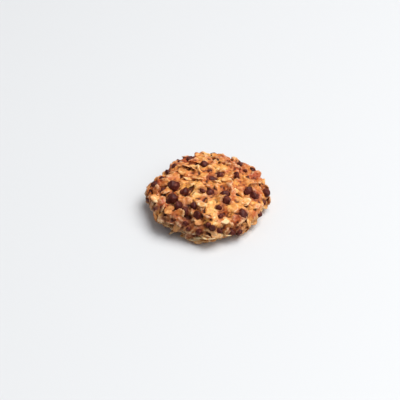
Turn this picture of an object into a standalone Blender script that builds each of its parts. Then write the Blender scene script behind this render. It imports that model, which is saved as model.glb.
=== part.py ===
# A chunky oat cookie with small chocolate chips, baked on a flat tray.
# It is one solid: the craggy dough, the oat flakes that stand out of it and the chips are fused.
# Metres, +Z up. The origin is on the surface that the cookie lies on, under the middle of its outline.

import math
import random

import bmesh
import bpy
from mathutils import Matrix, Vector, noise
from mathutils.bvhtree import BVHTree

MM = 0.001

# The dough seen from above: its reach from the middle, in mm, every 22.5 degrees round from +X
EDGE_REACH = (36.6, 36.8, 37.8, 38.2, 37.2, 35.6, 32.4, 31.8, 34.8, 34.0, 33.2, 33.4, 33.8, 33.0, 35.0, 32.6)
# Where that middle lies, in mm, so that the whole cookie's box is centred on the origin
OUTLINE_MIDDLE = Vector((-1.2, -1.7, 0.0))
# Its half section from the middle of the foot up to the crown: share of the reach, height in mm
SECTION = (
    (0.00, 0.0),
    (0.45, 0.0),
    (0.81, 0.0),
    (0.93, 1.8),
    (1.00, 6.0),
    (0.98, 10.4),
    (0.88, 14.0),
    (0.64, 16.4),
    (0.32, 17.6),
    (0.00, 18.0),
)
DOUGH_CUTS = 5  # subdivisions of the icosphere that the dough starts from
DOUGH_KEPT = 0.41  # share of its faces that stay, most of them on the crags

# Relief of the crust: size and depth of the lumps and of the smaller crags, in mm
LUMP_SIZE, LUMP_DEPTH = 12.0, 2.2
CRAG_SIZE, CRAG_DEPTH = 5.4, 2.2

# Rolled oats, each with a length, thickness and curl between these, in mm
FLAKE_COUNT = 190
FLAKE_LENGTH = (6.0, 8.6)
FLAKE_WIDTH = (0.66, 0.84)  # share of its length
FLAKE_THICKNESS = (1.0, 1.5)
FLAKE_CURL = (-0.5, 0.9)  # height of its two ends over its middle
FLAKE_TILT = 24.0  # degrees, the most that a flake leans out of the crust
FLAKE_SINK = (-0.3, 0.3)  # mm that its middle lies under the crust
FLAKE_SIDES, FLAKE_RINGS = 8, 3
LOWEST_FLAKE = 1.6  # mm, so that the foot stays flat
# A flake keeps this far from a whole chip's middle, in mm, and this share of its own length more
CHIP_CLEAR, FLAKE_CLEAR = 2.4, 0.25

# Small chocolate chips, drop shaped: shoulder and tip set how full the drop is
CHIP_WIDTH = 5.4
CHIP_HEIGHT = 4.2
CHIP_SHOULDER, CHIP_TIP = 2.4, 0.75
CHIP_SIDES, CHIP_RINGS = 8, 5
# Chips on the top: x and y from the middle in mm, and size as a share of a whole chip
TOP_CHIPS = (
    (-1, 19.5, 1.0), (-9, 27.5, 1.05), (-15, 25, 0.75), (-19.5, 19, 0.7), (-23, 16, 0.7), (-26, 8, 0.55),
    (-30.3, 3.6, 1.0), (-25, -2, 0.5), (-18, 0, 1.45), (-12, -6.8, 1.0), (-19.8, -9.6, 1.25),
    (-16, -17, 1.0), (-11.8, -20.4, 0.95), (-7.8, -18.4, 0.8), (-5.5, -25, 0.85), (-2.6, -7.2, 0.7),
    (3.4, -8.4, 1.2), (10.2, -9.4, 1.15), (11.4, -15.8, 1.0), (3.3, 5.6, 1.0), (8, 9.4, 1.0), (2.5, 13.5, 0.55),
    (18.2, 7.6, 0.8), (23.5, 15.5, 0.55), (24.5, 9, 0.5), (28.5, 20, 0.6), (21, 22.5, 0.7), (24.4, -4.2, 1.0),
    (28.3, -6.8, 1.1), (7.6, -20.2, 0.85), (8, -25.4, 0.7), (21.3, -23.8, 1.25),
)
# Chips on the side: direction in degrees round from +X, height in mm and size
SIDE_CHIPS = (
    (0, 10.9, 1.0), (350, 8.5, 0.7), (277, 12.2, 0.75), (283, 9.6, 0.75), (294, 6.8, 0.95), (302, 6.7, 0.8),
    (247, 11.4, 0.6), (252, 9.9, 0.5), (263, 9.5, 0.65), (271, 13.5, 0.6), (208, 11.5, 0.6), (186, 8.0, 0.75),
    (24, 5.5, 0.9), (44, 8.0, 1.0), (63, 4.6, 0.9), (82, 9.0, 1.1), (101, 5.5, 0.9), (118, 8.6, 1.0),
    (137, 4.6, 0.9), (155, 8.0, 1.1), (170, 4.8, 0.7), (334, 6.0, 0.9),
)
CHIP_PROUD = 0.52  # share of a chip's height that stands out of the crust
CHIP_LEAN = 55.0  # degrees, the most that a chip lies over
# Chips are aimed at the crust from this high above it and this far beside it, in mm
AIM_HEIGHT, AIM_REACH = 40.0, 60.0
SEED = 7

# Its colour on the baked top, linear
CRUST_COLOUR = (0.55, 0.24, 0.09, 1.0)
CRUST_ROUGHNESS = 0.6

# The foot is pushed under the tray's plane, in mm, and then trimmed off flat
FOOT_EDGE = 0.1
UNDER_TRAY = Vector((0.0, 0.0, -0.4))
TRIM_SIDE, TRIM_DEPTH = 120.0, 6.0


def empty_scene():
    for thing in list(bpy.data.objects):
        bpy.data.objects.remove(thing, do_unlink=True)


def new_collection(name):
    made = bpy.data.collections.new(name)
    bpy.context.scene.collection.children.link(made)
    return made


def add_mesh(shape, name, collection):
    mesh = bpy.data.meshes.new(name)
    shape.to_mesh(mesh)
    shape.free()
    made = bpy.data.objects.new(name, mesh)
    collection.objects.link(made)
    return made


def apply_modifiers(thing):
    graph = bpy.context.evaluated_depsgraph_get()
    whole = bpy.data.meshes.new_from_object(thing.evaluated_get(graph))
    thing.modifiers.clear()
    thing.data = whole


# Smooth curve through values that follow each other at equal steps
def through(before, low, high, after, step):
    slope_low, slope_high = (high - before) / 2, (after - low) / 2
    a = 2 * low - 2 * high + slope_low + slope_high
    b = 3 * high - 3 * low - 2 * slope_low - slope_high
    return ((a * step + b) * step + slope_low) * step + low


def edge_reach(angle):
    place = (angle / math.tau) % 1.0 * len(EDGE_REACH)
    first = int(place)
    near = [EDGE_REACH[(first + k) % len(EDGE_REACH)] for k in (-1, 0, 1, 2)]
    return through(*near, place - first)


# The half section as a fine line, with the share of its length that each point has run
def section_line(steps=12, reach=36.0):
    points = []
    last = len(SECTION) - 1
    for first in range(last):
        near = [SECTION[min(max(first + k, 0), last)] for k in (-1, 0, 1, 2)]
        for step in range(steps):
            points.append([through(*(point[axis] for point in near), step / steps) for axis in (0, 1)])
    points.append(list(SECTION[-1]))
    run = [0.0]
    for (share_a, height_a), (share_b, height_b) in zip(points, points[1:]):
        run.append(run[-1] + math.hypot((share_b - share_a) * reach, height_b - height_a))
    return [(length / run[-1], share, max(height, 0.0)) for length, (share, height) in zip(run, points)]


LINE = section_line()


# Share of the reach and height in mm, at this share of the way from foot to crown
def section_at(way):
    for (run_a, share_a, height_a), (run_b, share_b, height_b) in zip(LINE, LINE[1:]):
        if way <= run_b:
            part = (way - run_a) / (run_b - run_a)
            return share_a + part * (share_b - share_a), height_a + part * (height_b - height_a)
    return LINE[-1][1:]


# The smooth bun, in mm, in the direction of a point on the unit sphere
def bun_point(direction):
    angle = math.atan2(direction.y, direction.x)
    way = math.acos(max(-1.0, min(1.0, -direction.z))) / math.pi
    share, height = section_at(way)
    reach = edge_reach(angle) * share
    return OUTLINE_MIDDLE + Vector((reach * math.cos(angle), reach * math.sin(angle), height))


def relief(point):
    lumps = noise.noise(point / LUMP_SIZE) * LUMP_DEPTH
    crags = noise.noise(point / CRAG_SIZE + Vector((5.0, 9.0, 2.0))) * CRAG_DEPTH
    return lumps + crags


def make_dough(collection):
    ball = bmesh.new()
    bmesh.ops.create_icosphere(ball, subdivisions=DOUGH_CUTS, radius=1.0)
    for vertex in ball.verts:
        vertex.co = bun_point(vertex.co.normalized())
    ball.normal_update()
    moved = [(vertex, vertex.normal * relief(vertex.co - OUTLINE_MIDDLE)) for vertex in ball.verts]
    for vertex, move in moved:
        vertex.co += UNDER_TRAY if vertex.co.z < FOOT_EDGE else move
        vertex.co *= MM
    dough = add_mesh(ball, "dough", collection)
    fewer = dough.modifiers.new("fewer", "DECIMATE")
    fewer.ratio = DOUGH_KEPT
    apply_modifiers(dough)
    return dough


# Turns a piece's own up direction to the crust's, leans it and spins it
def placing(point, outward, spin, lean, lean_way, sink):
    turned = outward.to_track_quat("Z", "Y").to_matrix().to_4x4()
    leaned = Matrix.Rotation(lean, 4, Vector((math.cos(lean_way), math.sin(lean_way), 0.0)))
    return Matrix.Translation(point - outward * sink) @ turned @ leaned @ Matrix.Rotation(spin, 4, "Z")


# Evenly spread directions over a sphere, from its foot to its crown
def spiral_direction(number, count):
    height = -1.0 + (2 * number + 1) / count
    turn = number * math.pi * (3.0 - math.sqrt(5.0))
    reach = math.sqrt(1.0 - height * height)
    return Vector((reach * math.cos(turn), reach * math.sin(turn), height))


def flake_shape(length, width, thickness, curl):
    shape = bmesh.new()
    bmesh.ops.create_uvsphere(shape, u_segments=FLAKE_SIDES, v_segments=FLAKE_RINGS, radius=1.0)
    for vertex in shape.verts:
        x, y, z = vertex.co
        vertex.co = Vector((x * length / 2, y * width / 2, z * thickness / 2 + curl * x * x)) * MM
    return shape


def clear_of_chips(point, length, places):
    return all(
        (point - chip).length > (size * CHIP_CLEAR + length * FLAKE_CLEAR) * MM for _, chip, size in places
    )


def make_flakes(crust, places, collection):
    rng = random.Random(SEED)
    made = []
    for number in range(FLAKE_COUNT):
        direction = spiral_direction(number, FLAKE_COUNT)
        length = rng.uniform(*FLAKE_LENGTH)
        width = length * rng.uniform(*FLAKE_WIDTH)
        thickness = rng.uniform(*FLAKE_THICKNESS)
        curl = rng.uniform(*FLAKE_CURL)
        spin, lean_way = rng.uniform(0, math.tau), rng.uniform(0, math.tau)
        lean = math.radians(FLAKE_TILT) * rng.random()
        sink = rng.uniform(*FLAKE_SINK) * MM
        point, outward, _, _ = crust.find_nearest(bun_point(direction) * MM)
        if point.z > LOWEST_FLAKE * MM and clear_of_chips(point, length, places):
            flake = add_mesh(flake_shape(length, width, thickness, curl), f"flake_{number:03d}", collection)
            flake.matrix_world = placing(point, outward, spin, lean, lean_way, sink)
            made.append(flake)
    return made


# A drop: wide flat seat, round shoulder and a blunt tip, with its seat at z = 0
def chip_shape(size):
    shape = bmesh.new()
    bmesh.ops.create_uvsphere(shape, u_segments=CHIP_SIDES, v_segments=CHIP_RINGS, radius=1.0)
    for vertex in shape.verts:
        height = (vertex.co.z + 1.0) / 2
        wide = math.hypot(vertex.co.x, vertex.co.y)
        if wide > 1e-6:
            drop = (1.0 - height ** CHIP_SHOULDER) ** CHIP_TIP
            vertex.co.x *= drop / wide
            vertex.co.y *= drop / wide
        half = CHIP_WIDTH * size / 2
        vertex.co = Vector((vertex.co.x * half, vertex.co.y * half, height * CHIP_HEIGHT * size)) * MM
    return shape


def chip_aims():
    for x, y, size in TOP_CHIPS:
        yield OUTLINE_MIDDLE + Vector((x, y, AIM_HEIGHT)), Vector((0.0, 0.0, -1.0)), size
    for angle, height, size in SIDE_CHIPS:
        away = Vector((math.cos(math.radians(angle)), math.sin(math.radians(angle)), 0.0))
        yield OUTLINE_MIDDLE + away * AIM_REACH + Vector((0.0, 0.0, height)), -away, size


# How each chip lies, where it sits on the crust, and its size
def chip_places(crust):
    rng = random.Random(SEED + 1)
    places = []
    for start, way, size in chip_aims():
        spin, lean_way = rng.uniform(0, math.tau), rng.uniform(0, math.tau)
        lean = math.radians(CHIP_LEAN) * rng.random()
        point, outward, _, _ = crust.ray_cast(start * MM, way)
        if point is not None:
            sink = (1.0 - CHIP_PROUD) * CHIP_HEIGHT * size * MM
            places.append((placing(point, outward, spin, lean, lean_way, sink), point, size))
    return places


def make_chips(places, collection):
    made = []
    for number, (matrix, _, size) in enumerate(places):
        chip = add_mesh(chip_shape(size), f"chip_{number:03d}", collection)
        chip.matrix_world = matrix
        made.append(chip)
    return made


# What reaches under the tray's plane is trimmed off flat
def make_trimmer(collection):
    bpy.ops.mesh.primitive_cube_add(size=1.0)
    block = bpy.context.object
    block.name = "tray_block"
    block.scale = Vector((TRIM_SIDE, TRIM_SIDE, TRIM_DEPTH)) * MM
    block.location = (0.0, 0.0, -TRIM_DEPTH * MM / 2)
    for held in list(block.users_collection):
        held.objects.unlink(block)
    collection.objects.link(block)
    block.hide_render = True
    block.display_type = "WIRE"
    return block


# Fills the hollows that fusing sealed and drops loose scraps: only the outer shell stays
def keep_outer_shell(thing):
    shape = bmesh.new()
    shape.from_mesh(thing.data)
    unseen = set(shape.verts)
    shells = []
    while unseen:
        shell, edge = set(), {next(iter(unseen))}
        while edge:
            shell |= edge
            edge = {link.other_vert(v) for v in edge for link in v.link_edges} - shell
        shells.append(shell)
        unseen -= shell
    outer = max(shells, key=len)
    bmesh.ops.delete(shape, geom=[v for v in shape.verts if v not in outer], context="VERTS")
    shape.to_mesh(thing.data)
    shape.free()


def crust_material():
    crust = bpy.data.materials.new("baked_crust")
    crust.use_nodes = True
    shader = crust.node_tree.nodes["Principled BSDF"]
    shader.inputs["Base Color"].default_value = CRUST_COLOUR
    shader.inputs["Roughness"].default_value = CRUST_ROUGHNESS
    shader.inputs["Metallic"].default_value = 0.0
    crust.diffuse_color = CRUST_COLOUR
    return crust


def main():
    empty_scene()
    cookie_parts = new_collection("oat_cookie")
    toppings = new_collection("toppings")
    tools = new_collection("tools")
    dough = make_dough(cookie_parts)
    crust = BVHTree.FromPolygons(
        [vertex.co for vertex in dough.data.vertices],
        [list(face.vertices) for face in dough.data.polygons],
    )
    places = chip_places(crust)
    fused = make_flakes(crust, places, toppings) + make_chips(places, toppings)
    join = dough.modifiers.new("join", "BOOLEAN")
    join.operation = "UNION"
    join.operand_type = "COLLECTION"
    join.collection = toppings
    join.solver = "EXACT"
    apply_modifiers(dough)
    for thing in fused:
        bpy.data.objects.remove(thing, do_unlink=True)
    trim = dough.modifiers.new("trim", "BOOLEAN")
    trim.operation = "DIFFERENCE"
    trim.object = make_trimmer(tools)
    trim.solver = "EXACT"
    apply_modifiers(dough)
    keep_outer_shell(dough)
    dough.name = "cookie"
    dough.data.materials.clear()
    dough.data.materials.append(crust_material())


main()
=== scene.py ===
import math
import random

import bpy
import numpy as np
from mathutils import Matrix, Vector, noise
from mathutils.bvhtree import BVHTree
from mathutils.kdtree import KDTree


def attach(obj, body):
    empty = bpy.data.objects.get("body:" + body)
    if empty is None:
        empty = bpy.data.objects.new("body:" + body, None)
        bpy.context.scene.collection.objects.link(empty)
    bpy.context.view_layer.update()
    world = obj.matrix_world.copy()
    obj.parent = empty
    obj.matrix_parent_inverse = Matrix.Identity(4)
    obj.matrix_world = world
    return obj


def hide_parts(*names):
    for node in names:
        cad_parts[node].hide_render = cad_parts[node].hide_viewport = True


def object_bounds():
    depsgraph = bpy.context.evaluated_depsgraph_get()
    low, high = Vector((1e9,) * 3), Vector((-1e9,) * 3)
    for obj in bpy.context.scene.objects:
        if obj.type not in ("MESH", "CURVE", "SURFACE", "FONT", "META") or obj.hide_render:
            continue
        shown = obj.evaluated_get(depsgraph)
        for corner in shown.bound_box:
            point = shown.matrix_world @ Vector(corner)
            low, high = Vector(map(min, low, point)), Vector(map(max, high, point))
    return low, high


# Oat cookie with small chocolate chips: craggy dough, rolled oats, chips and crumbs
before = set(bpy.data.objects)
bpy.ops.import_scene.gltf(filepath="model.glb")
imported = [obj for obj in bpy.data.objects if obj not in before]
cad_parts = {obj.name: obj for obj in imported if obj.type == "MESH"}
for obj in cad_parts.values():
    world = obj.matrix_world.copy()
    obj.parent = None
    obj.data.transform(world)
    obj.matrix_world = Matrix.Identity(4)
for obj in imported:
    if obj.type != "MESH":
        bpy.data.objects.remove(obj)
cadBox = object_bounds()
bpy.ops.object.select_all(action="DESELECT")

mm = 0.001  # sizes below are in millimetres, and meshes in metres


# Camera, lights and floor
picture = {
    "lookAt": Vector((-4.7, 4.4, 0.0)),  # what lies in the middle of the picture, mm
    "above": 40.0,       # degrees that the camera stands above the floor
    "distance": 550.0,   # mm
    "pixel": 0.6,        # mm that one pixel covers there
    "pixels": 400,
    "sensor": 36.0,      # mm
    "nearest": 10.0,     # mm, where the view starts
}

studio = {
    "floor": "#DADCDE",
    "floorSize": 6000.0,
    "floorRoughness": 0.55,
    "skyColour": "#F4F5FA",
    "skyStrength": 0.3,
    # where from, mm, how wide, mm, watts and colour; the window is high up behind the cookie on its right
    "lights": {
        "windowLight": (Vector((1150.0, 450.0, 2750.0)), 2600.0, 96.0, "#FFFEFC"),
        "fillLight": (Vector((800.0, -400.0, 1100.0)), 1300.0, 6.0, "#FFFFFF"),
    },
}


def linear(hexColour):  # sRGB hex to linear, with alpha 1
    channels = [int(hexColour[k:k + 2], 16) / 255 for k in (1, 3, 5)]
    return tuple(c / 12.92 if c <= 0.04045 else ((c + 0.055) / 1.055) ** 2.4 for c in channels) + (1.0,)


def perSize(size):  # texture scale for features of this size, mm
    return 1.0 / (size * mm)


# A shader node with its settings and links; "stops" are the colours of a ramp
def addNode(tree, kind, settings=None, links=None):
    node = tree.nodes.new("ShaderNode" + kind)
    for name, value in (settings or {}).items():
        if name == "stops":
            ramp = node.color_ramp
            while len(ramp.elements) < len(value):
                ramp.elements.new(0.5)
            for stop, (place, colour) in zip(ramp.elements, value):
                stop.position = place
                stop.color = linear(colour)
        elif isinstance(name, int) or name in node.inputs:
            node.inputs[name].default_value = value
        else:
            setattr(node, name, value)
    for name, source in (links or {}).items():
        tree.links.new(source, node.inputs[name])
    return node


def newMaterial(name):
    made = bpy.data.materials.new(name)
    made.use_nodes = True
    tree = made.node_tree
    return made, tree, tree.nodes["Principled BSDF"]


def addCamera():
    tilt = math.radians(picture["above"])
    back = Vector((0.0, -math.cos(tilt), math.sin(tilt)))
    place = (picture["lookAt"] + back * picture["distance"]) * mm
    bpy.ops.object.camera_add(location=place, rotation=(math.pi / 2 - tilt, 0.0, 0.0))
    camera = bpy.context.object
    camera.name = "camera"
    camera.data.sensor_width = picture["sensor"]
    camera.data.lens = picture["sensor"] * picture["distance"] / (picture["pixel"] * picture["pixels"])
    camera.data.clip_start = picture["nearest"] * mm
    bpy.context.scene.camera = camera


def addSoftLight(name, start, size, watts, colour):
    bpy.ops.object.light_add(type="AREA", location=start * mm)
    lamp = bpy.context.object
    lamp.name = name
    lamp.data.shape = "DISK"
    lamp.data.size = size * mm
    lamp.data.energy = watts
    lamp.data.color = linear(colour)[:3]
    lamp.rotation_euler = (-start).to_track_quat("-Z", "Y").to_euler()


def addStudio():
    bpy.context.scene.view_settings.view_transform = "Standard"
    world = bpy.data.worlds.new("paleRoom")
    bpy.context.scene.world = world
    world.use_nodes = True
    sky = world.node_tree.nodes["Background"]
    sky.inputs["Color"].default_value = linear(studio["skyColour"])
    sky.inputs["Strength"].default_value = studio["skyStrength"]
    for name, light in studio["lights"].items():
        addSoftLight(name, *light)
    bpy.ops.mesh.primitive_plane_add(size=studio["floorSize"] * mm)
    floor = bpy.context.object
    floor.name = "floor"
    paint, _, shader = newMaterial("paleFloor")
    shader.inputs["Base Color"].default_value = linear(studio["floor"])
    shader.inputs["Roughness"].default_value = studio["floorRoughness"]
    floor.data.materials.append(paint)
    floor.select_set(False)


addCamera()
addStudio()
print("camera, lights and floor stand")


# The cookie's form, the same as the solid's
form = {
    # reach of the dough from its middle, mm, every 22.5 degrees round from +X
    "edgeReach": (
        36.6, 36.8, 37.8, 38.2, 37.2, 35.6, 32.4, 31.8, 34.8, 34.0, 33.2, 33.4, 33.8, 33.0, 35.0, 32.6,
    ),
    "middle": Vector((-1.2, -1.7, 0.0)),
    # half section from the middle of the foot up to the crown: share of the reach, height in mm
    "section": (
        (0.00, 0.0), (0.45, 0.0), (0.81, 0.0), (0.93, 1.8), (1.00, 6.0),
        (0.98, 10.4), (0.88, 14.0), (0.64, 16.4), (0.32, 17.6), (0.00, 18.0),
    ),
    "lumpSize": 12.0, "lumpDepth": 2.2,
    "cragSize": 5.4, "cragDepth": 2.2, "cragShift": Vector((5.0, 9.0, 2.0)),
    "footEdge": 0.1,
    "aimHeight": 40.0, "aimReach": 60.0,   # where a line that looks for the crust starts
    "floorGap": 0.1,                       # what is scattered stays this far above the floor
    "seed": 7,
}


def clamped(value, low=0.0, high=1.0):
    return min(max(value, low), high)


# Smooth curve through values that follow each other at equal steps
def through(before, low, high, after, step):
    slopeLow, slopeHigh = (high - before) / 2, (after - low) / 2
    a = 2 * low - 2 * high + slopeLow + slopeHigh
    b = 3 * high - 3 * low - 2 * slopeLow - slopeHigh
    return ((a * step + b) * step + slopeLow) * step + low


def edgeReach(angle):
    reaches = form["edgeReach"]
    place = (angle / math.tau) % 1.0 * len(reaches)
    first = int(place)
    return through(*[reaches[(first + k) % len(reaches)] for k in (-1, 0, 1, 2)], place - first)


# The half section as a smooth line: share of the way along it, and the reach and height there
def sectionLine(steps=12, reach=36.0):
    corners = form["section"]
    last = len(corners) - 1
    points = []
    for first in range(last):
        near = [corners[clamped(first + k, 0, last)] for k in (-1, 0, 1, 2)]
        for step in range(steps):
            points.append([through(*(point[axis] for point in near), step / steps) for axis in (0, 1)])
    points.append(list(corners[-1]))
    shares, heights = np.array(points).T
    run = np.concatenate(([0.0], np.cumsum(np.hypot(np.diff(shares) * reach, np.diff(heights)))))
    return run / run[-1], shares, np.maximum(heights, 0.0)


wayOfLine, shareOfLine, heightOfLine = sectionLine()


# The smooth bun, in mm, in the direction of a point on the unit sphere
def bunPoint(direction):
    angle = math.atan2(direction.y, direction.x)
    way = math.acos(clamped(-direction.z, -1.0)) / math.pi
    reach = edgeReach(angle) * float(np.interp(way, wayOfLine, shareOfLine))
    height = float(np.interp(way, wayOfLine, heightOfLine))
    return form["middle"] + Vector((reach * math.cos(angle), reach * math.sin(angle), height))


def relief(point):
    lumps = noise.noise(point / form["lumpSize"]) * form["lumpDepth"]
    crags = noise.noise(point / form["cragSize"] + form["cragShift"]) * form["cragDepth"]
    return lumps + crags


# Turns a piece's own up direction to the crust's, leans it and spins it
def placing(point, outward, spin=0.0, lean=0.0, leanWay=0.0, sink=0.0):
    turned = outward.to_track_quat("Z", "Y").to_matrix().to_4x4()
    leaned = Matrix.Rotation(lean, 4, Vector((math.cos(leanWay), math.sin(leanWay), 0.0)))
    return Matrix.Translation(point - outward * sink) @ turned @ leaned @ Matrix.Rotation(spin, 4, "Z")


# Evenly spread directions over a sphere, from its foot to its crown
def spiralDirection(number, count):
    height = -1.0 + (2 * number + 1) / count
    turn = number * math.pi * (3.0 - math.sqrt(5.0))
    reach = math.sqrt(1.0 - height * height)
    return Vector((reach * math.cos(turn), reach * math.sin(turn), height))


def somewhere(rng, reach):  # a place of its own in the noise
    return Vector([rng.uniform(0, reach) for _ in range(3)])


def sideWay(angle):  # level direction at these degrees round from +X
    return Vector((math.cos(math.radians(angle)), math.sin(math.radians(angle)), 0.0))


# A point of the crust, and which way it faces there: the nearest to one of so many directions, which strays
def spreadPoint(crust, number, sizes, rng):
    stray = Vector([rng.uniform(-sizes["stray"], sizes["stray"]) for _ in range(3)])
    direction = (spiralDirection(number, sizes["count"]) + stray).normalized()
    return crust.find_nearest(bunPoint(direction) * mm)[:2]


# Where a line straight down meets it
def fromAbove(crust, x, y):
    start = form["middle"] + Vector((x, y, form["aimHeight"]))
    return crust.ray_cast(start * mm, Vector((0.0, 0.0, -1.0)))[:2]


# And a level line, from this many degrees round from +X
def fromSide(crust, angle, height):
    start = form["middle"] + sideWay(angle) * form["aimReach"] + Vector((0.0, 0.0, height))
    return crust.ray_cast(start * mm, -sideWay(angle))[:2]


# Small tools for meshes
def perVertex(thing, name):
    found = np.empty(len(thing.data.vertices) * 3)
    thing.data.vertices.foreach_get(name, found)
    return found.reshape(-1, 3)


def coordinates(thing):
    return perVertex(thing, "co")


def normals(thing):
    return perVertex(thing, "normal")


def setCoordinates(thing, places):
    thing.data.vertices.foreach_set("co", np.asarray(places, np.float32).ravel())
    thing.data.update()


def setAttribute(thing, name, values):
    made = thing.data.attributes.new(name, "FLOAT", "POINT")
    made.data.foreach_set("value", np.asarray(values, np.float32))


def setTone(thing, tone):
    setAttribute(thing, "tone", [tone] * len(thing.data.vertices))


def treeOf(thing):
    return BVHTree.FromPolygons(
        [vertex.co for vertex in thing.data.vertices], [tuple(face.vertices) for face in thing.data.polygons]
    )


def applyAll(thing):
    bpy.context.view_layer.objects.active = thing
    for modifier in list(thing.modifiers):
        bpy.ops.object.modifier_apply(modifier=modifier.name)


def soften(thing, factor, times):
    modifier = thing.modifiers.new("soften", "SMOOTH")
    modifier.factor = factor
    modifier.iterations = times
    applyAll(thing)


# A copy with its own mesh, moved and shaped, and kept between the floor and the solid's top
def copyOf(pattern, matrix, shape, tone):
    made = pattern.copy()
    made.data = pattern.data.copy()
    bpy.context.collection.objects.link(made)
    setCoordinates(made, shape(coordinates(made)))
    made.data.transform(matrix)
    heights = coordinates(made)[:, 2]
    lift = max(form["floorGap"] * mm - heights.min(), 0.0) - max(heights.max() - cadBox[1][2], 0.0)
    made.data.transform(Matrix.Translation((0.0, 0.0, lift)))
    setTone(made, tone)
    return made


def joined(things, name):
    bpy.ops.object.select_all(action="DESELECT")
    for thing in things:
        thing.select_set(True)
    bpy.context.view_layer.objects.active = things[0]
    bpy.ops.object.join()
    made = bpy.context.object
    made.name = name
    made.data.name = name
    made.select_set(False)
    return made


def addBall(sides, rings):
    bpy.ops.mesh.primitive_uv_sphere_add(segments=sides, ring_count=rings, radius=1.0)
    ball = bpy.context.object
    ball.select_set(False)
    return ball


# Mean of each vertex and its neighbours, so many times over
def averaged(thing, values, times):
    edges = np.empty(len(thing.data.edges) * 2, np.int64)
    thing.data.edges.foreach_get("vertices", edges)
    a, b = edges.reshape(-1, 2).T
    count = np.bincount(np.concatenate((a, b)), minlength=len(values))[:, None]
    for _ in range(times):
        total = np.stack([
            np.bincount(a, column[b], len(column)) + np.bincount(b, column[a], len(column))
            for column in values.T
        ], axis=1)
        values = (values + total) / (count + 1)
    return values


# Chips: where each sits on the crust, the same as the solid's
chipForm = {
    "width": 5.4, "height": 4.2,      # mm, of a whole chip
    "shoulder": 2.4, "tip": 0.75,     # how full the drop is
    "sides": 28, "rings": 18,
    "proud": 0.52,                    # share of its height out of the bare crust
    "lean": 55.0,                     # degrees, the most that one lies over
    "slump": 0.22, "slumpSize": 2.6,  # how far baking has put it out of shape, as a share of its width
    "slumpReach": 60.0,
    "stretch": (0.96, 1.12),
    "placeSeed": 1, "shapeSeed": 2,
    # a flake keeps this far from a whole chip's middle, mm, and this share of its own length more
    "clear": 2.4, "flakeClear": 0.25,
    # x and y from the middle in mm, and size as a share of a whole chip
    "top": (
        (-1, 19.5, 1.0), (-9, 27.5, 1.05), (-15, 25, 0.75), (-19.5, 19, 0.7), (-23, 16, 0.7), (-26, 8, 0.55),
        (-30.3, 3.6, 1.0), (-25, -2, 0.5), (-18, 0, 1.45), (-12, -6.8, 1.0), (-19.8, -9.6, 1.25),
        (-16, -17, 1.0), (-11.8, -20.4, 0.95), (-7.8, -18.4, 0.8), (-5.5, -25, 0.85), (-2.6, -7.2, 0.7),
        (3.4, -8.4, 1.2), (10.2, -9.4, 1.15), (11.4, -15.8, 1.0), (3.3, 5.6, 1.0), (8, 9.4, 1.0),
        (2.5, 13.5, 0.55), (18.2, 7.6, 0.8), (23.5, 15.5, 0.55), (24.5, 9, 0.5), (28.5, 20, 0.6),
        (21, 22.5, 0.7), (24.4, -4.2, 1.0), (28.3, -6.8, 1.1), (7.6, -20.2, 0.85), (8, -25.4, 0.7),
        (21.3, -23.8, 1.25),
    ),
    # direction in degrees round from +X, height in mm and size
    "side": (
        (0, 10.9, 1.0), (350, 8.5, 0.7), (277, 12.2, 0.75), (283, 9.6, 0.75), (294, 6.8, 0.95),
        (302, 6.7, 0.8), (247, 11.4, 0.6), (252, 9.9, 0.5), (263, 9.5, 0.65), (271, 13.5, 0.6),
        (208, 11.5, 0.6), (186, 8.0, 0.75), (24, 5.5, 0.9), (44, 8.0, 1.0), (63, 4.6, 0.9),
        (82, 9.0, 1.1), (101, 5.5, 0.9), (118, 8.6, 1.0), (137, 4.6, 0.9), (155, 8.0, 1.1),
        (170, 4.8, 0.7), (334, 6.0, 0.9),
    ),
}


# Each chip's placing, the point of the crust that it sits on, and its size
def chipPlaces(crust):
    rng = random.Random(form["seed"] + chipForm["placeSeed"])
    hits = [(*fromAbove(crust, x, y), size) for x, y, size in chipForm["top"]]
    hits += [(*fromSide(crust, angle, height), size) for angle, height, size in chipForm["side"]]
    spots = []
    for point, outward, size in hits:
        spin, leanWay = rng.uniform(0, math.tau), rng.uniform(0, math.tau)
        lean = math.radians(chipForm["lean"]) * rng.random()
        if point is not None:
            sink = (1.0 - chipForm["proud"]) * chipForm["height"] * size * mm
            spots.append((placing(point, outward, spin, lean, leanWay, sink), point, size))
    return spots


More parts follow.
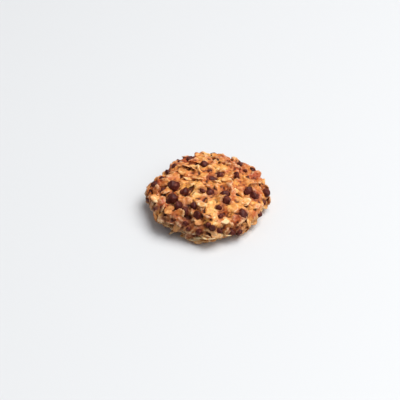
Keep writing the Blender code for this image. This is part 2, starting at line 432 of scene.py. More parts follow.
# Dough with its oats
doughForm = {
    "cuts": 6,
    "sides": 14, "rings": 8,    # of the ball that each flake in it starts as
    # the flakes that the solid has too
    "fused": {"count": 190, "length": (6.0, 8.6), "width": (0.66, 0.84), "thickness": (1.0, 1.5),
              "curl": (-0.5, 0.9), "tilt": 24.0, "sink": (-0.3, 0.3), "lowest": 1.6},
    # lumps of dough, and more flakes under a coat of it
    "lumps": {"count": 90, "length": (7.0, 12.0), "width": (0.5, 0.75), "thickness": (2.6, 4.2),
              "curl": (-0.4, 0.4), "tilt": 16.0, "sink": (1.2, 1.9), "lowest": 1.6, "tone": (0.3, 0.6),
              "stray": 0.09, "seed": 4},
    "coated": {"count": 250, "length": (5.0, 9.2), "width": (0.55, 0.85), "thickness": (1.1, 2.0),
               "curl": (-0.7, 0.7), "tilt": 15.0, "sink": (0.5, 1.2), "lowest": 1.2, "tone": (0.1, 0.95),
               "stray": 0.09, "seed": 11},
    "bareTone": 0.4, "toneStep": 0.618,    # the steps spread the fused flakes' tones evenly
    "voxel": 0.44,    # mm, grain of the fused mesh
    "melt": 7, "meltFactor": 0.5,    # times that it is smoothed, and how strongly
    "snap": 0.25, "snapFactor": 0.35,    # how far it then goes back to the oats, and a last smoothing
    "crumb": ((4.2, 1.2), (1.8, 0.6), (0.9, 0.4)),   # size and depth of the crumb on it, mm
    # pits in the underside: below this height, and only where the noise is over the least
    "pitSize": 3.2, "pitDepth": 0.9, "pitBelow": 0.5, "pitLeast": 0.12,
    "moatDepth": 0.22, "moatWidth": 0.4, "moatFrom": 0.1,   # the gap that a chip leaves round itself
    # beside a chip the dough stands no higher than this over the bare crust, and rises by this slope
    "bankHeight": 0.6, "bankSlope": 0.9, "bankWidth": 1.8,
    "bankReach": 9.0,    # mm from the chip, which spares the far side
}

# Gaps in the crust, mm
gaps = {
    # cracks between clumps
    "networkSize": 9.0, "networkWidth": 0.1, "networkDepth": 1.6, "networkShift": Vector((3.0, 7.0, 1.0)),
    # the patches where they open: how far on the whole, and how much that changes
    "openSize": 15.0, "openShare": 0.6, "openChange": 1.8, "openShift": Vector((8.0, 2.0, 4.0)),
    # layers that show in the side, and how soon they fade where the crust turns up or down
    "levelSize": 11.0, "levelHeight": 2.8, "levelDepth": 5.0, "levelLeast": 0.08, "levelFade": 1.3,
    "topFrom": 0.3,   # the crust counts as top where it faces up at least this much
    # route from the middle, half width and depth: the crack behind the crown, the valley on the left
    "routes": (
        (((1, 31.5), (5, 27.5), (8, 22)), 1.3, 3.4),
        (((-26.5, -1), (-23.5, -9.5), (-20, -16), (-15.5, -20.5), (-10.5, -25)), 2.2, 3.2),
    ),
    "routeClear": 0.3,    # share of its length that a flake keeps off them
    # gap under the ledge, front left: degrees round from +X, degrees each way, height, half height, depth
    "ledge": (214.0, 28.0, 3.0, 1.3, 3.0),
    "ledgeClear": 2.0,    # half heights that a piece keeps off it
}


def addBun():
    bpy.ops.mesh.primitive_ico_sphere_add(subdivisions=doughForm["cuts"], radius=1.0)
    bun = bpy.context.object
    bun.select_set(False)
    places = [bunPoint(Vector(place).normalized()) for place in coordinates(bun)]
    setCoordinates(bun, places)
    moved = []
    for place, outward in zip(places, normals(bun)):
        rise = 0.0 if place.z < form["footEdge"] else relief(place - form["middle"])
        moved.append(place + Vector(outward) * rise)
    setCoordinates(bun, np.array(moved) * mm)
    return bun


def routeDistance(x, y, route):
    nearest = math.inf
    for (ax, ay), (bx, by) in zip(route, route[1:]):
        share = clamped(((x - ax) * (bx - ax) + (y - ay) * (by - ay)) / ((bx - ax) ** 2 + (by - ay) ** 2))
        nearest = min(nearest, math.hypot(x - ax - share * (bx - ax), y - ay - share * (by - ay)))
    return nearest


# How far the crust is drawn in at a point, mm
def gapDepth(point, outward):
    network = noise.noise(point / gaps["networkSize"] + gaps["networkShift"])
    patch = noise.noise(point / gaps["openSize"] + gaps["openShift"])
    opened = clamped(gaps["openShare"] + gaps["openChange"] * patch)
    depth = gaps["networkDepth"] * opened * math.exp(-(network / gaps["networkWidth"]) ** 2)
    side = max(0.0, 1.0 - abs(outward.z) * gaps["levelFade"])
    flat = Vector((point.x / gaps["levelSize"], point.y / gaps["levelSize"], point.z / gaps["levelHeight"]))
    depth += gaps["levelDepth"] * side * max(0.0, noise.noise(flat) - gaps["levelLeast"])
    x, y, _ = point - form["middle"]
    if outward.z > gaps["topFrom"]:
        for route, width, deep in gaps["routes"]:
            depth = max(depth, deep * math.exp(-(routeDistance(x, y, route) / width) ** 2))
    else:
        angle, spread, height, halfHeight, deep = gaps["ledge"]
        off = (math.degrees(math.atan2(y, x)) - angle + 180) % 360 - 180
        depth += deep * math.exp(-(off / spread) ** 4 - ((point.z - height) / halfHeight) ** 2)
    return depth


def openGaps(bun):
    places = []
    for place, outward in zip(coordinates(bun), normals(bun)):
        point = Vector(place) / mm
        if point.z > form["footEdge"] * 2:
            point = point - Vector(outward) * gapDepth(point, Vector(outward))
            point.z = max(point.z, form["footEdge"])
        places.append(point * mm)
    setCoordinates(bun, places)


def oatShape(length, width, thickness, curl):
    def shaped(places):
        x, y, z = places.T
        return np.stack((x * length / 2, y * width / 2, z * thickness / 2 + curl * x * x), axis=1) * mm
    return shaped


# What makes a rolled oat of a flat ball
oatForm = {
    "waves": (2, 3, 5), "waveDepth": (0.015, 0.05),    # round its rim, as a share of its reach
    "corners": 2.5,    # 2 is a plain oval, and more is squarer
    "nick": (0.0, 0.3), "nickWidth": 0.22,    # share of its reach, and half width in radians
    "crease": 0.2, "creaseWidth": 0.16,    # mm, and half width as a share of the flake's
    "fullness": 0.6,    # under 1, it stays thick towards its rim
    "curl": 0.8, "twist": 0.4,
}


# An oval pressed thin: wavy rim with a nick, a crease along it, ends that curl
def flakeShape(rng, length, width, thickness, curl):
    twist = rng.uniform(-oatForm["twist"], oatForm["twist"])
    waves = [(k, rng.uniform(*oatForm["waveDepth"]), rng.uniform(0, math.tau)) for k in oatForm["waves"]]
    nick, nickDepth = rng.uniform(0, math.tau), rng.uniform(*oatForm["nick"])

    def shaped(places):
        x, y, z = places.T
        angle = np.arctan2(y, x)
        rim = 1.0 + sum(depth * np.cos(k * angle + turn) for k, depth, turn in waves)
        corners = oatForm["corners"]
        rim = rim * (np.abs(np.cos(angle)) ** corners + np.abs(np.sin(angle)) ** corners) ** (-1 / corners)
        off = np.abs((angle - nick + math.pi) % math.tau - math.pi)
        rim = rim - nickDepth * np.exp(-(off / oatForm["nickWidth"]) ** 2)
        crease = oatForm["crease"] * np.exp(-(y / oatForm["creaseWidth"]) ** 2) * (1.0 - np.hypot(x, y) ** 4)
        height = np.sign(z) * np.abs(z) ** oatForm["fullness"] * thickness / 2 - crease
        height = height + curl * x * x * oatForm["curl"] + twist * x * y
        return np.stack((x * rim * length / 2, y * rim * width / 2, height), axis=1) * mm
    return shaped


# Whether a flake this long, mm, would leave the chips, the routes and the gap under the ledge bare
def clearOfChips(point, length, spots, share=chipForm["flakeClear"]):
    keep = chipForm["clear"]
    return all((point - chip).length > (size * keep + length * share) * mm for _, chip, size in spots)


def clearOfRoutes(point, length):
    x, y, _ = point / mm - form["middle"]
    keep = length * gaps["routeClear"]
    return all(routeDistance(x, y, route) > width + keep for route, width, _ in gaps["routes"])


def clearOfLedge(angle, height):
    middle, spread, ledgeHeight, halfHeight, _ = gaps["ledge"]
    return abs(angle - middle) >= spread or abs(height - ledgeHeight) >= halfHeight * gaps["ledgeClear"]


# A flake's length, width, thickness and curl, mm
def drawnSize(rng, sizes):
    length = rng.uniform(*sizes["length"])
    width = length * rng.uniform(*sizes["width"])
    return length, width, rng.uniform(*sizes["thickness"]), rng.uniform(*sizes["curl"])


# How it lies: spin, lean, way of leaning and sink
def drawnLying(rng, sizes):
    spin, leanWay = rng.uniform(0, math.tau), rng.uniform(0, math.tau)
    lean = math.radians(sizes["tilt"]) * rng.random()
    return spin, lean, leanWay, rng.uniform(*sizes["sink"]) * mm


# The draws come in the same order as the solid's
def fusedOats(crust, pattern, spots):
    sizes = doughForm["fused"]
    rng = random.Random(form["seed"])
    made = []
    for number in range(sizes["count"]):
        size, lying = drawnSize(rng, sizes), drawnLying(rng, sizes)
        point, outward, _, _ = crust.find_nearest(bunPoint(spiralDirection(number, sizes["count"])) * mm)
        if point.z > sizes["lowest"] * mm and clearOfChips(point, size[0], spots):
            tone = (number * doughForm["toneStep"]) % 1.0
            made.append(copyOf(pattern, placing(point, outward, *lying), oatShape(*size), tone))
    return made


# Scattered over the crust, but not over the chips and gaps
def scattered(crust, pattern, sizes, spots):
    rng = random.Random(form["seed"] + sizes["seed"])
    made = []
    for number in range(sizes["count"]):
        point, outward = spreadPoint(crust, number, sizes, rng)
        size, lying = drawnSize(rng, sizes), drawnLying(rng, sizes)
        tone, shape = rng.uniform(*sizes["tone"]), flakeShape(rng, *size)
        x, y, height = point / mm - form["middle"]
        clear = clearOfChips(point, size[0], spots) and clearOfRoutes(point, size[0])
        clear = clear and clearOfLedge(math.degrees(math.atan2(y, x)) % 360, height)
        if point.z > sizes["lowest"] * mm and clear:
            made.append(copyOf(pattern, placing(point, outward, *lying), shape, tone))
    return made


# One mesh of dough and oats, drawn back a little to what it was fused from; gives its tones
def fuse(dough):
    source = treeOf(dough)
    tones = np.empty(len(dough.data.vertices))
    dough.data.attributes["tone"].data.foreach_get("value", tones)
    faceTones = [tones[face.vertices[0]] for face in dough.data.polygons]
    voxel = doughForm["voxel"] * mm
    remesh = dough.modifiers.new("fuse", "REMESH")
    remesh.mode = "VOXEL"
    remesh.voxel_size = voxel
    applyAll(dough)
    soften(dough, doughForm["meltFactor"], doughForm["melt"])
    places, nearTones = [], []
    for place in coordinates(dough):
        near, _, face, away = source.find_nearest(Vector(place))
        places.append(Vector(place).lerp(near, doughForm["snap"] if away < voxel else 0.0))
        nearTones.append(faceTones[face])
    setCoordinates(dough, places)
    soften(dough, doughForm["snapFactor"], 1)
    return np.array(nearTones)[:, None]


# Crumb all over, and pits in the foot where it lay on the tray
def roughen(dough):
    for number, (size, depth) in enumerate(doughForm["crumb"]):
        texture = bpy.data.textures.new(f"crumb{number}", "CLOUDS")
        texture.noise_scale = size * mm
        texture.noise_depth = 2
        crumb = dough.modifiers.new("crumb", "DISPLACE")
        crumb.texture = texture
        crumb.strength = depth * mm
    applyAll(dough)
    places = coordinates(dough)
    for number in np.nonzero(places[:, 2] < doughForm["pitBelow"] * mm)[0]:
        x, y, _ = places[number] / mm
        pit = noise.noise(Vector((x, y, 0.0)) / doughForm["pitSize"]) - doughForm["pitLeast"]
        places[number, 2] = max(0.0, pit) * doughForm["pitDepth"] * mm
    setCoordinates(dough, places)


# Distance of each vertex from the rim of the nearest chip, mm
def fromChips(dough, spots):
    middles = KDTree(len(spots))
    for number, (_, point, _) in enumerate(spots):
        middles.insert(point, number)
    middles.balance()
    found = []
    for place in coordinates(dough):
        near = middles.find_n(Vector(place), 2)
        found.append(min(away / mm - spots[number][2] * chipForm["width"] / 2 for _, number, away in near))
    return np.array(found)


# Dough and oats that would bury a chip are pressed down round it
def bareChips(dough, spots):
    places = coordinates(dough)
    for matrix, point, size in spots:
        outward = (point - matrix.translation).normalized()
        away = places - np.array(point)
        height = away @ np.array(outward) / mm
        wide = np.linalg.norm(away, axis=1) / mm
        level = np.sqrt(np.maximum(wide ** 2 - height ** 2, 0.0)) - size * chipForm["width"] / 2
        limit = doughForm["bankHeight"] + doughForm["bankSlope"] * np.maximum(level, 0.0)
        beside = (level < doughForm["bankWidth"]) & (wide < doughForm["bankReach"])
        over = np.where(beside, np.maximum(height - limit, 0.0), 0.0)
        places = places - np.array(outward) * over[:, None] * mm
    setCoordinates(dough, places)


def addMoats(dough, rim):
    away = (rim - doughForm["moatFrom"]) / doughForm["moatWidth"]
    moat = doughForm["moatDepth"] * np.exp(-away ** 2)
    setCoordinates(dough, coordinates(dough) - normals(dough) * moat[:, None] * mm)


# Where it browned, and where painted shade darkens its lower side, mm: an "over" is the way from none to all
# of it
browningAndShade = {
    # the top, in patches, most towards its rim and on the side that lies this many degrees round from +X
    "toastWay": 120.0, "toastTurn": 0.46,
    "patchSize": 9.0, "patchShift": Vector((2.0, 6.0, 5.0)), "patchShare": 0.66, "patchChange": 1.8,
    "rimFrom": 0.45, "rimOver": 0.35, "rimLeast": 0.15,     # shares of the cookie's reach
    "topFrom": 7.0, "topOver": 4.0,
    "footBelow": 1.0, "footOver": 0.8,      # the foot, on the tray
    # painted shade: the lower side is darker, duller and browner than the top, most and highest up at these
    # degrees, away from the window light
    "shadeWay": 228.0, "dullLeast": 0.5,
    "dullBelow": 10.0, "dullRise": 6.0, "dullOver": 4.0, "dullSize": 4.0, "dullChange": 5.0,
    "dullFrom": 0.6,
}


def toastAt(point):
    out = (point - form["middle"]).xy
    angle = math.atan2(out.y, out.x)
    uneven = noise.noise(point / browningAndShade["patchSize"] + browningAndShade["patchShift"]) * browningAndShade["patchChange"]
    turned = browningAndShade["toastTurn"] * math.cos(math.radians(browningAndShade["toastWay"]) - angle)
    patch = clamped(browningAndShade["patchShare"] + uneven + turned)
    share = out.length / edgeReach(angle)
    rim = clamped((share - browningAndShade["rimFrom"]) / browningAndShade["rimOver"], browningAndShade["rimLeast"])
    top = clamped((point.z - browningAndShade["topFrom"]) / browningAndShade["topOver"])
    foot = clamped((browningAndShade["footBelow"] - point.z) / browningAndShade["footOver"])
    return max(rim * top * patch, foot)


# Painted shade on the lower side, from 0 to 1: strongest and highest up on the side away from the window
# light, weaker all round
def sideShadeAt(point):
    x, y, _ = point - form["middle"]
    turned = max(math.cos(math.radians(browningAndShade["shadeWay"]) - math.atan2(y, x)), 0.0) ** 2
    uneven = noise.noise(point / browningAndShade["dullSize"]) * browningAndShade["dullChange"]
    below = browningAndShade["dullBelow"] + browningAndShade["dullRise"] * turned + uneven
    share = browningAndShade["dullLeast"] + (1.0 - browningAndShade["dullLeast"]) * turned
    return share * clamped((below - point.z) / browningAndShade["dullOver"]) * clamped(point.z - browningAndShade["dullFrom"])


# What the finish reads off the dough's form, mm
marks = {
    "rounds": (2, 8, 30),             # of averaging: to the soft, the near and the far form
    "crease": 0.16, "hollow": 0.7,    # depth below the near and the far form that counts as a full one
    "stain": 0.7,                     # how far from its rim a chip stains the dough
    # the crack behind the crown gets the darkest painted shade: half width, where it starts, and what it adds
    "crackWidth": 0.9, "crackFrom": 8.0, "crackCrease": 1.6, "crackHollowShade": 0.6,
}


# How far into the crack behind the crown each place is, from 0 to 1
def crackShares(places):
    crack, _, _ = gaps["routes"][0]
    found = []
    for place in places:
        x, y, _ = place / mm - form["middle"]
        away = routeDistance(x, y, crack) / marks["crackWidth"]
        found.append(math.exp(-away ** 2) if place[2] > marks["crackFrom"] * mm else 0.0)
    return np.array(found)


# Marks that the finish paints from: the oats' tones, how deep each place lies in a crease or hollow for the
# painted shade there and the painted highlights on ridges, with the crack behind the crown counted deepest,
# and how far a chip's melt stain reaches
def markDough(dough, tones, rim):
    places, outward = coordinates(dough), normals(dough)
    softRounds, nearRounds, farRounds = marks["rounds"]
    soft = averaged(dough, places, softRounds)
    near = averaged(dough, soft, nearRounds)
    far = averaged(dough, near, farRounds)
    crease = ((near - soft) * outward).sum(axis=1) / (marks["crease"] * mm)
    hollow = ((far - places) * outward).sum(axis=1) / (marks["hollow"] * mm)
    inCrack = crackShares(places)
    setAttribute(dough, "tone", averaged(dough, tones, softRounds)[:, 0])
    setAttribute(dough, "crease", crease + marks["crackCrease"] * inCrack)
    setAttribute(dough, "hollow", hollow + marks["crackHollowShade"] * inCrack)
    setAttribute(dough, "stain", np.exp(-(np.maximum(rim, 0.0) / marks["stain"]) ** 2))


# How far each point of a piece has browned, and how much painted shade its lower side takes
def markBrowningAndShade(thing, toast=True):
    points = [Vector(place) / mm for place in coordinates(thing)]
    setAttribute(thing, "side", [sideShadeAt(point) for point in points])
    if toast:
        setAttribute(thing, "toast", [toastAt(point) for point in points])


def makeDough():
    bun = addBun()
    crust = treeOf(bun)
    spots = chipPlaces(crust)
    openGaps(bun)
    openCrust = treeOf(bun)
    pattern = addBall(doughForm["sides"], doughForm["rings"])
    oats = fusedOats(crust, pattern, spots)
    oats += scattered(openCrust, pattern, doughForm["lumps"], spots)
    oats += scattered(openCrust, pattern, doughForm["coated"], spots)
    bpy.data.objects.remove(pattern)
    setTone(bun, doughForm["bareTone"])
    dough = joined([bun] + oats, "bakedDough")
    tones = fuse(dough)
    bareChips(dough, spots)
    roughen(dough)
    rim = fromChips(dough, spots)
    addMoats(dough, rim)
    markDough(dough, tones, rim)
    markBrowningAndShade(dough)
    return dough, spots


dough, chipSpots = makeDough()
print("dough:", len(dough.data.polygons), "faces")
crust = treeOf(dough)


# A drop with its wide flat seat at z = 0, round shoulder and blunt tip, slumped a little in baking
def chipShape(size, rng):
    stretch = rng.uniform(*chipForm["stretch"])
    shift = somewhere(rng, chipForm["slumpReach"])

    def shaped(places):
        height = (places[:, 2] + 1.0) / 2
        wide = np.hypot(places[:, 0], places[:, 1])
        drop = np.maximum(1.0 - height ** chipForm["shoulder"], 0.0) ** chipForm["tip"]
        drop *= chipForm["width"] * size / 2 / np.maximum(wide, 1e-6)
        rise = height * chipForm["height"] * size
        whole = np.stack((places[:, 0] * drop * stretch, places[:, 1] * drop / stretch, rise), axis=1)
        slump = [noise.noise(Vector(place) / chipForm["slumpSize"] + shift) for place in whole]
        whole *= (1.0 + chipForm["slump"] * np.array(slump))[:, None]
        return whole * mm
    return shaped


def makeChips(spots):
    pattern = addBall(chipForm["sides"], chipForm["rings"])
    rng = random.Random(form["seed"] + chipForm["shapeSeed"])
    drops = []
    for matrix, _, size in spots:
        drops.append(copyOf(pattern, matrix, chipShape(size, rng), rng.random()))
    bpy.data.objects.remove(pattern)
    return joined(drops, "chocolateChips")


chips = makeChips(chipSpots)
print("chips:", len(chips.data.polygons), "faces")


# Loose flakes that stand out of the crust
flakeForm = {
    "count": 28,
    "length": (4.8, 7.6), "width": (0.7, 0.94), "thickness": (0.8, 1.2), "curl": (-0.8, 0.4),
    "tilt": 12.0, "sink": (0.3, 0.7), "lowest": 1.0, "tone": (0.05, 0.6), "stray": 0.12, "seed": 21,
    "clear": 0.42,    # share of its length that a loose one stays off a chip
    "sides": 22, "rings": 10,
    # the ones that catch the eye on the top: x, y, length, share of it in width, spin, curl and tone
    "top": (
        (10.6, -28.4, 6.2, 0.85, 80, 0.2, 1.0), (-29.0, -9.5, 6.6, 0.8, 100, 0.2, 0.72),
        (-21.0, -20.6, 7.6, 0.7, 140, 0.1, 0.35), (-4.8, -28.0, 6.4, 0.8, 70, 0.3, 0.6),
        (22.8, -13.0, 6.8, 0.85, 20, 0.1, 0.85), (16.8, -4.5, 5.4, 0.85, 60, 0.2, 0.7),
        (-2.4, -20.5, 5.6, 0.6, 10, 0.6, 0.9), (-10.2, 5.8, 7.4, 0.5, 50, 1.6, 0.85),
        (12.0, 1.4, 6.4, 0.7, 150, 0.5, 0.7), (5.0, -26.6, 6.0, 0.6, 100, 0.5, 0.75),
        (-14.0, 12.0, 7.0, 0.6, 20, 0.8, 0.6),
    ),
    # and those on the side: degrees round from +X, height, length, spin and tone
    "side": ((317, 8.0, 6.6, 40, 0.75), (262, 3.0, 6.0, 10, 0.9), (240, 9.0, 6.0, 60, 0.5)),
    "sideWidth": 0.7, "sideCurl": 0.3, "placedThickness": 0.9,
    # pale ones that show in the front of the side, rims out: degrees, height, length, how far out and tone
    "front": (
        (273, 6.4, 8.5, 1.6, 1.0), (264, 4.6, 8.0, 1.5, 1.0), (256, 3.0, 7.0, 1.2, 1.0),
        (283, 3.6, 7.0, 1.4, 1.0), (247, 5.0, 7.5, 1.0, 0.8), (238, 5.6, 7.0, 0.6, 0.7),
        (228, 7.0, 6.0, 0.4, 0.6), (217, 6.6, 6.5, 0.5, 0.6), (207, 6.2, 7.0, 0.8, 0.6),
        (292, 5.6, 6.5, 1.3, 0.9), (268, 2.8, 6.0, 1.2, 1.0), (279, 8.4, 5.5, 1.4, 0.8),
    ),
    # and more all round, level in the lower side
    "levelCount": 72, "levelHeight": (0.8, 6.5), "levelOut": (0.3, 1.2), "levelTone": (0.5, 1.0),
    "levelTilt": 34.0, "levelThickness": 0.8, "levelCurl": (-0.9, 0.9),
    # how much of the oat's brown rim each kind shows
    "looseBrown": 1.0, "placedBrown": 0.8, "levelBrown": 0.3,
}


# These three give each flake's placing, shape, tone and how much of a brown rim it shows
def looseFlakes(crust, rng, spots):
    for number in range(flakeForm["count"]):
        point, outward = spreadPoint(crust, number, flakeForm, rng)
        lying, size = drawnLying(rng, flakeForm), drawnSize(rng, flakeForm)
        shape, tone = flakeShape(rng, *size), rng.uniform(*flakeForm["tone"])
        clear = clearOfChips(point, size[0], spots, flakeForm["clear"]) and clearOfRoutes(point, size[0])
        if point.z > flakeForm["lowest"] * mm and clear:
            yield placing(point, outward, *lying), shape, tone, flakeForm["looseBrown"]


def placedFlakes(crust, rng):
    thickness, brown = flakeForm["placedThickness"], flakeForm["placedBrown"]
    for x, y, length, width, spin, curl, tone in flakeForm["top"]:
        point, outward = fromAbove(crust, x, y)
        faced = (outward + Vector((0.0, 0.0, 1.0))).normalized()
        shape = flakeShape(rng, length, length * width, thickness, curl)
        yield placing(point, faced, math.radians(spin)), shape, tone, brown
    for angle, height, length, spin, tone in flakeForm["side"]:
        point, outward = fromSide(crust, angle, height)
        shape = flakeShape(rng, length, length * flakeForm["sideWidth"], thickness, flakeForm["sideCurl"])
        yield placing(point, outward, math.radians(spin)), shape, tone, brown


def levelFlakes(crust, rng):
    wanted = list(flakeForm["front"])
    for number in range(flakeForm["levelCount"]):
        angle = (number + rng.random()) * 360 / flakeForm["levelCount"]
        height, length = rng.uniform(*flakeForm["levelHeight"]), rng.uniform(*flakeForm["length"])
        out, tone = rng.uniform(*flakeForm["levelOut"]), rng.uniform(*flakeForm["levelTone"])
        if clearOfLedge(angle, height):
            wanted.append((angle, height, length, out, tone))
    for angle, height, length, out, tone in wanted:
        width = length * rng.uniform(*flakeForm["width"])
        lean = math.radians(flakeForm["levelTilt"]) * rng.uniform(-1, 1)
        curl = rng.uniform(*flakeForm["levelCurl"])
        shape = flakeShape(rng, length, width, flakeForm["levelThickness"], curl)
        point, _ = fromSide(crust, angle, height)
        point = point + sideWay(angle) * (out - width / 2) * mm
        turned = Matrix.Rotation(math.radians(angle) + math.pi / 2, 4, "Z")
        matrix = Matrix.Translation(point) @ turned @ Matrix.Rotation(lean, 4, "X")
        yield matrix, shape, tone, flakeForm["levelBrown"]


def makeFlakes(crust, spots):
    pattern = addBall(flakeForm["sides"], flakeForm["rings"])
    x, y, _ = coordinates(pattern).T
    setAttribute(pattern, "across", y)
    setAttribute(pattern, "along", x)
    rng = random.Random(form["seed"] + flakeForm["seed"])
    pieces = []
    for kind in (looseFlakes(crust, rng, spots), placedFlakes(crust, rng), levelFlakes(crust, rng)):
        for matrix, shape, tone, brown in kind:
            pieces.append(copyOf(pattern, matrix, shape, tone))
            setAttribute(pieces[-1], "rim", np.hypot(x, y) * brown)
    bpy.data.objects.remove(pattern)
    made = joined(pieces, "oatFlakes")
    markBrowningAndShade(made, toast=False)
    return made


flakes = makeFlakes(crust, chipSpots)
print("flakes:", len(flakes.data.polygons), "faces")


# Crumbs of dough and broken oat baked onto the crust
crumbForm = {
    "count": 120,
    "size": (0.5, 1.4), "shares": (1.3, 1.0, 0.7),    # and its length, width and height as shares of that
    "cuts": 2,
    "uneven": 0.45, "unevenScale": 1.3, "unevenReach": 50.0,
    "lean": 0.9,    # radians, the most
    "sink": 0.1, "lowest": 0.8,
    "stray": 0.08, "seed": 31,
}


def crumbShape(half, shift):
    def shaped(places):
        lumps = np.array([noise.noise(Vector(place) * crumbForm["unevenScale"] + shift) for place in places])
        return places * (1.0 + crumbForm["uneven"] * lumps)[:, None] * half * mm
    return shaped


def makeCrumbs(crust):
    bpy.ops.mesh.primitive_ico_sphere_add(subdivisions=crumbForm["cuts"], radius=1.0)
    pattern = bpy.context.object
    pattern.select_set(False)
    rng = random.Random(form["seed"] + crumbForm["seed"])
    pieces = []
    for number in range(crumbForm["count"]):
        point, outward = spreadPoint(crust, number, crumbForm, rng)
        half = [rng.uniform(*crumbForm["size"]) * share / 2 for share in crumbForm["shares"]]
        shape = crumbShape(half, somewhere(rng, crumbForm["unevenReach"]))
        spin, leanWay = rng.uniform(0, math.tau), rng.uniform(0, math.tau)
        lean, tone = rng.uniform(0, crumbForm["lean"]), rng.random()
        if point.z >= crumbForm["lowest"] * mm:
            matrix = placing(point, outward, spin, lean, leanWay, crumbForm["sink"] * mm)
            pieces.append(copyOf(pattern, matrix, shape, tone))
    bpy.data.objects.remove(pattern)
    made = joined(pieces, "bakedCrumbs")
    markBrowningAndShade(made)
    return made


crumbs = makeCrumbs(crust)
print("crumbs:", len(crumbs.data.polygons), "faces")


# A noise texture keeps near its middle, so this takes it from 0 to 1
spread = {"From Min": 0.35, "From Max": 0.65}


# What ends each material: its fine bump and the shader's own values
def finishOff(tree, shader, finish, height):
    bump = addNode(tree, "Bump",
                   {"Strength": finish["bump"], "Distance": finish["bumpDepth"] * mm}, {"Height": height})
    tree.links.new(bump.outputs[0], shader.inputs["Normal"])
    for name, value in finish["shader"].items():
        shader.inputs[name].default_value = value


# Oat dough, oven baked: golden brown and uneven, with painted shade in its cracks and a buttery sheen
doughFinish = {
    "patch": 10.0, "mottle": 2.2, "blush": 7.0, "grain": 0.6,   # mm
    "patchShare": 0.7, "mottleShare": 0.3,    # how much of the tone each of them makes
    "colours": (
        (0.06, "#904214"), (0.28, "#C46C2C"), (0.5, "#E39244"), (0.72, "#F9B864"), (0.94, "#FFDEA6"),
    ),
    # laid over those in turn: colour, how much of it at most, what it follows, and from where to where
    "layers": {
        "gold": ("#F6B252", 0.5, "blush", 0.5, 0.66),
        "red": ("#B43C12", 0.55, "blush", 0.5, 0.34),
        "toast": ("#A8380C", 0.72, "toast", 0.0, 1.0),
        # painted shade: the lower side darker and duller, most on the front left, away from the window light
        "side": ("#6E4826", 0.72, "side", 0.0, 1.0),
        # painted highlight on the convex ridges
        "ridgeHighlight": ("#FFE0AE", 0.42, "crease", -0.25, -1.4),
        # painted shade in the hollows, below the far form
        "hollow": ("#7E2402", 0.72, "hollow", 0.1, 1.0),
        "stain": ("#70240A", 0.45, "stain", 0.1, 1.0),
        # painted shade in the creases, darkest in the crack behind the crown
        "crack": ("#3E0C00", 0.95, "crease", 0.15, 1.15),
    },
    "roughness": (0.22, 0.8),
    "mattFrom": -0.8, "mattTo": 0.6, "mattMottle": 0.35,    # it is dry in its creases, and in spots
    "bump": 0.6, "bumpDepth": 0.3,
    "shader": {
        "Specular IOR Level": 0.4,
        "Subsurface Weight": 0.16,
        "Subsurface Radius": (1.0, 0.45, 0.2),
        "Subsurface Scale": 1.2 * mm,
    },
}


def bakedDoughMaterial():
    made, tree, shader = newMaterial("bakedOatDough")
    place = addNode(tree, "TexCoord").outputs["Object"]
    read = {
        name: addNode(tree, "Attribute", {"attribute_name": name}).outputs["Fac"]
        for name in ("tone", "crease", "hollow", "stain", "toast", "side")
    }
    for name in ("patch", "mottle", "blush"):
        read[name] = addNode(tree, "TexNoise", {"Scale": perSize(doughFinish[name]), "Detail": 4.0},
                             {"Vector": place}).outputs["Fac"]
    patches = addNode(tree, "MapRange", spread, {"Value": read["patch"]})
    specks = addNode(tree, "MapRange", spread, {"Value": read["mottle"]})
    mixed = addNode(tree, "Mix", {0: doughFinish["patchShare"]}, {2: read["tone"], 3: patches.outputs[0]})
    uneven = addNode(tree, "Mix", {0: doughFinish["mottleShare"]},
                     {2: mixed.outputs[0], 3: specks.outputs[0]})
    shown = addNode(tree, "ValToRGB", {"stops": doughFinish["colours"]},
                    {"Fac": uneven.outputs[0]}).outputs[0]
    for hexColour, most, name, low, high in doughFinish["layers"].values():
        part = addNode(tree, "MapRange", {"From Min": low, "From Max": high, "To Max": most},
                       {"Value": read[name]})
        shown = addNode(tree, "Mix", {"data_type": "RGBA", 7: linear(hexColour)},
                        {0: part.outputs[0], 6: shown}).outputs[2]
    tree.links.new(shown, shader.inputs["Base Color"])
    matt = addNode(tree, "MapRange",
                   {"From Min": doughFinish["mattFrom"], "From Max": doughFinish["mattTo"]},
                   {"Value": read["crease"]})
    dry = addNode(tree, "Mix", {0: doughFinish["mattMottle"]}, {2: matt.outputs[0], 3: specks.outputs[0]})
    least, most = doughFinish["roughness"]
    rough = addNode(tree, "MapRange", {"To Min": least, "To Max": most}, {"Value": dry.outputs[0]})
    tree.links.new(rough.outputs[0], shader.inputs["Roughness"])
    grain = addNode(tree, "TexNoise", {"Scale": perSize(doughFinish["grain"]), "Detail": 3.0},
                    {"Vector": place})
    finishOff(tree, shader, doughFinish, grain.outputs["Fac"])
    return made


# Rolled oats, toasted: pale and floury in the middle, browned at the rim
oatFinish = {
    "mottle": 2.4, "grain": 0.6,    # mm
    "mottleShare": 0.45,            # how much of the tone the mottle makes
    "colours": ((0.1, "#B8682C"), (0.4, "#DE9049"), (0.65, "#F4B46C"), (0.9, "#FFE6B4")),
    "rim": "#9A4A1C", "rimFrom": 0.5, "rimMost": 0.75,
    # painted shade: how much of the dough's painted side shade the oats take on their lower side
    "sideShadeShare": 0.5,                    # how much of the dough's side colour they take there
    # fine lines that run along a flake: how often they change along it, across it and from flake to flake
    "lines": (1.5, 11.0, 40.0), "grainShare": 0.5,
    "bump": 0.5, "bumpDepth": 0.25,
    "shader": {
        "Roughness": 0.5,
        "Specular IOR Level": 0.45,
        "Subsurface Weight": 0.15,
        "Subsurface Radius": (1.0, 0.6, 0.3),
        "Subsurface Scale": 0.8 * mm,
    },
}


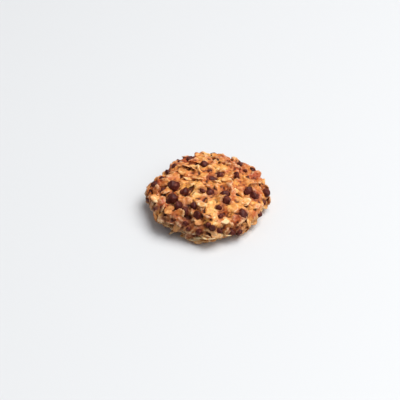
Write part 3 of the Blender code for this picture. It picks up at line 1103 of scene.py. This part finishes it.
def toastedOatMaterial():
    made, tree, shader = newMaterial("toastedOat")
    place = addNode(tree, "TexCoord").outputs["Object"]
    tone, rim, across, along, side = [
        addNode(tree, "Attribute", {"attribute_name": name}).outputs["Fac"]
        for name in ("tone", "rim", "across", "along", "side")
    ]
    mottle = addNode(tree, "TexNoise", {"Scale": perSize(oatFinish["mottle"]), "Detail": 4.0},
                     {"Vector": place})
    specks = addNode(tree, "MapRange", spread, {"Value": mottle.outputs["Fac"]})
    mixed = addNode(tree, "Mix", {0: oatFinish["mottleShare"]}, {2: tone, 3: specks.outputs[0]})
    colour = addNode(tree, "ValToRGB", {"stops": oatFinish["colours"]}, {"Fac": mixed.outputs[0]})
    edge = addNode(tree, "MapRange",
                   {"From Min": oatFinish["rimFrom"], "To Max": oatFinish["rimMost"]}, {"Value": rim})
    browned = addNode(tree, "Mix", {"data_type": "RGBA", 7: linear(oatFinish["rim"])},
                      {0: edge.outputs[0], 6: colour.outputs[0]})
    # painted shade on the lower side, as on the dough
    sideShadeShare = addNode(tree, "Math", {"operation": "MULTIPLY", 1: oatFinish["sideShadeShare"]}, {0: side})
    sideShadeColour = linear(doughFinish["layers"]["side"][0])
    shown = addNode(tree, "Mix", {"data_type": "RGBA", 7: sideShadeColour},
                    {0: sideShadeShare.outputs[0], 6: browned.outputs[2]})
    tree.links.new(shown.outputs[2], shader.inputs["Base Color"])
    flat = addNode(tree, "CombineXYZ", None, {"X": along, "Y": across, "Z": tone})
    stretched = addNode(tree, "VectorMath", {"operation": "MULTIPLY", 1: oatFinish["lines"]},
                        {0: flat.outputs[0]})
    lines = addNode(tree, "TexNoise", {"Scale": 1.0, "Detail": 2.0}, {"Vector": stretched.outputs[0]})
    grain = addNode(tree, "TexNoise", {"Scale": perSize(oatFinish["grain"]), "Detail": 2.0},
                    {"Vector": place})
    height = addNode(tree, "Mix", {0: oatFinish["grainShare"]},
                     {2: lines.outputs["Fac"], 3: grain.outputs["Fac"]})
    finishOff(tree, shader, oatFinish, height.outputs[0])
    return made


# Dark chocolate, baked and set again: satin, with a paler bloom in patches
chocolateFinish = {
    "bloom": 2.0,    # mm
    "colours": ((0.3, "#3C0D06"), (0.52, "#52180C"), (0.72, "#7C3E2E")),
    "roughness": (0.42, 0.62),
    "bump": 0.25, "bumpDepth": 0.2,
    "shader": {"Specular IOR Level": 0.25},
}


def chocolateMaterial():
    made, tree, shader = newMaterial("darkChocolate")
    place = addNode(tree, "TexCoord").outputs["Object"]
    bloom = addNode(tree, "TexNoise", {"Scale": perSize(chocolateFinish["bloom"]), "Detail": 4.0},
                    {"Vector": place})
    colour = addNode(tree, "ValToRGB", {"stops": chocolateFinish["colours"]}, {"Fac": bloom.outputs["Fac"]})
    tree.links.new(colour.outputs[0], shader.inputs["Base Color"])
    least, most = chocolateFinish["roughness"]
    rough = addNode(tree, "MapRange", {"To Min": least, "To Max": most}, {"Value": bloom.outputs["Fac"]})
    tree.links.new(rough.outputs[0], shader.inputs["Roughness"])
    finishOff(tree, shader, chocolateFinish, bloom.outputs["Fac"])
    return made


dough.data.materials.append(bakedDoughMaterial())
flakes.data.materials.append(toastedOatMaterial())
crumbs.data.materials.append(dough.data.materials[0])
chips.data.materials.append(chocolateMaterial())

slots = {dough: "baked_dough", flakes: "toasted_oats", crumbs: "baked_dough", chips: "dark_chocolate"}
for piece, slot in slots.items():
    piece.data.polygons.foreach_set("use_smooth", [True] * len(piece.data.polygons))
    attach(piece, "root")
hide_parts("cookie")
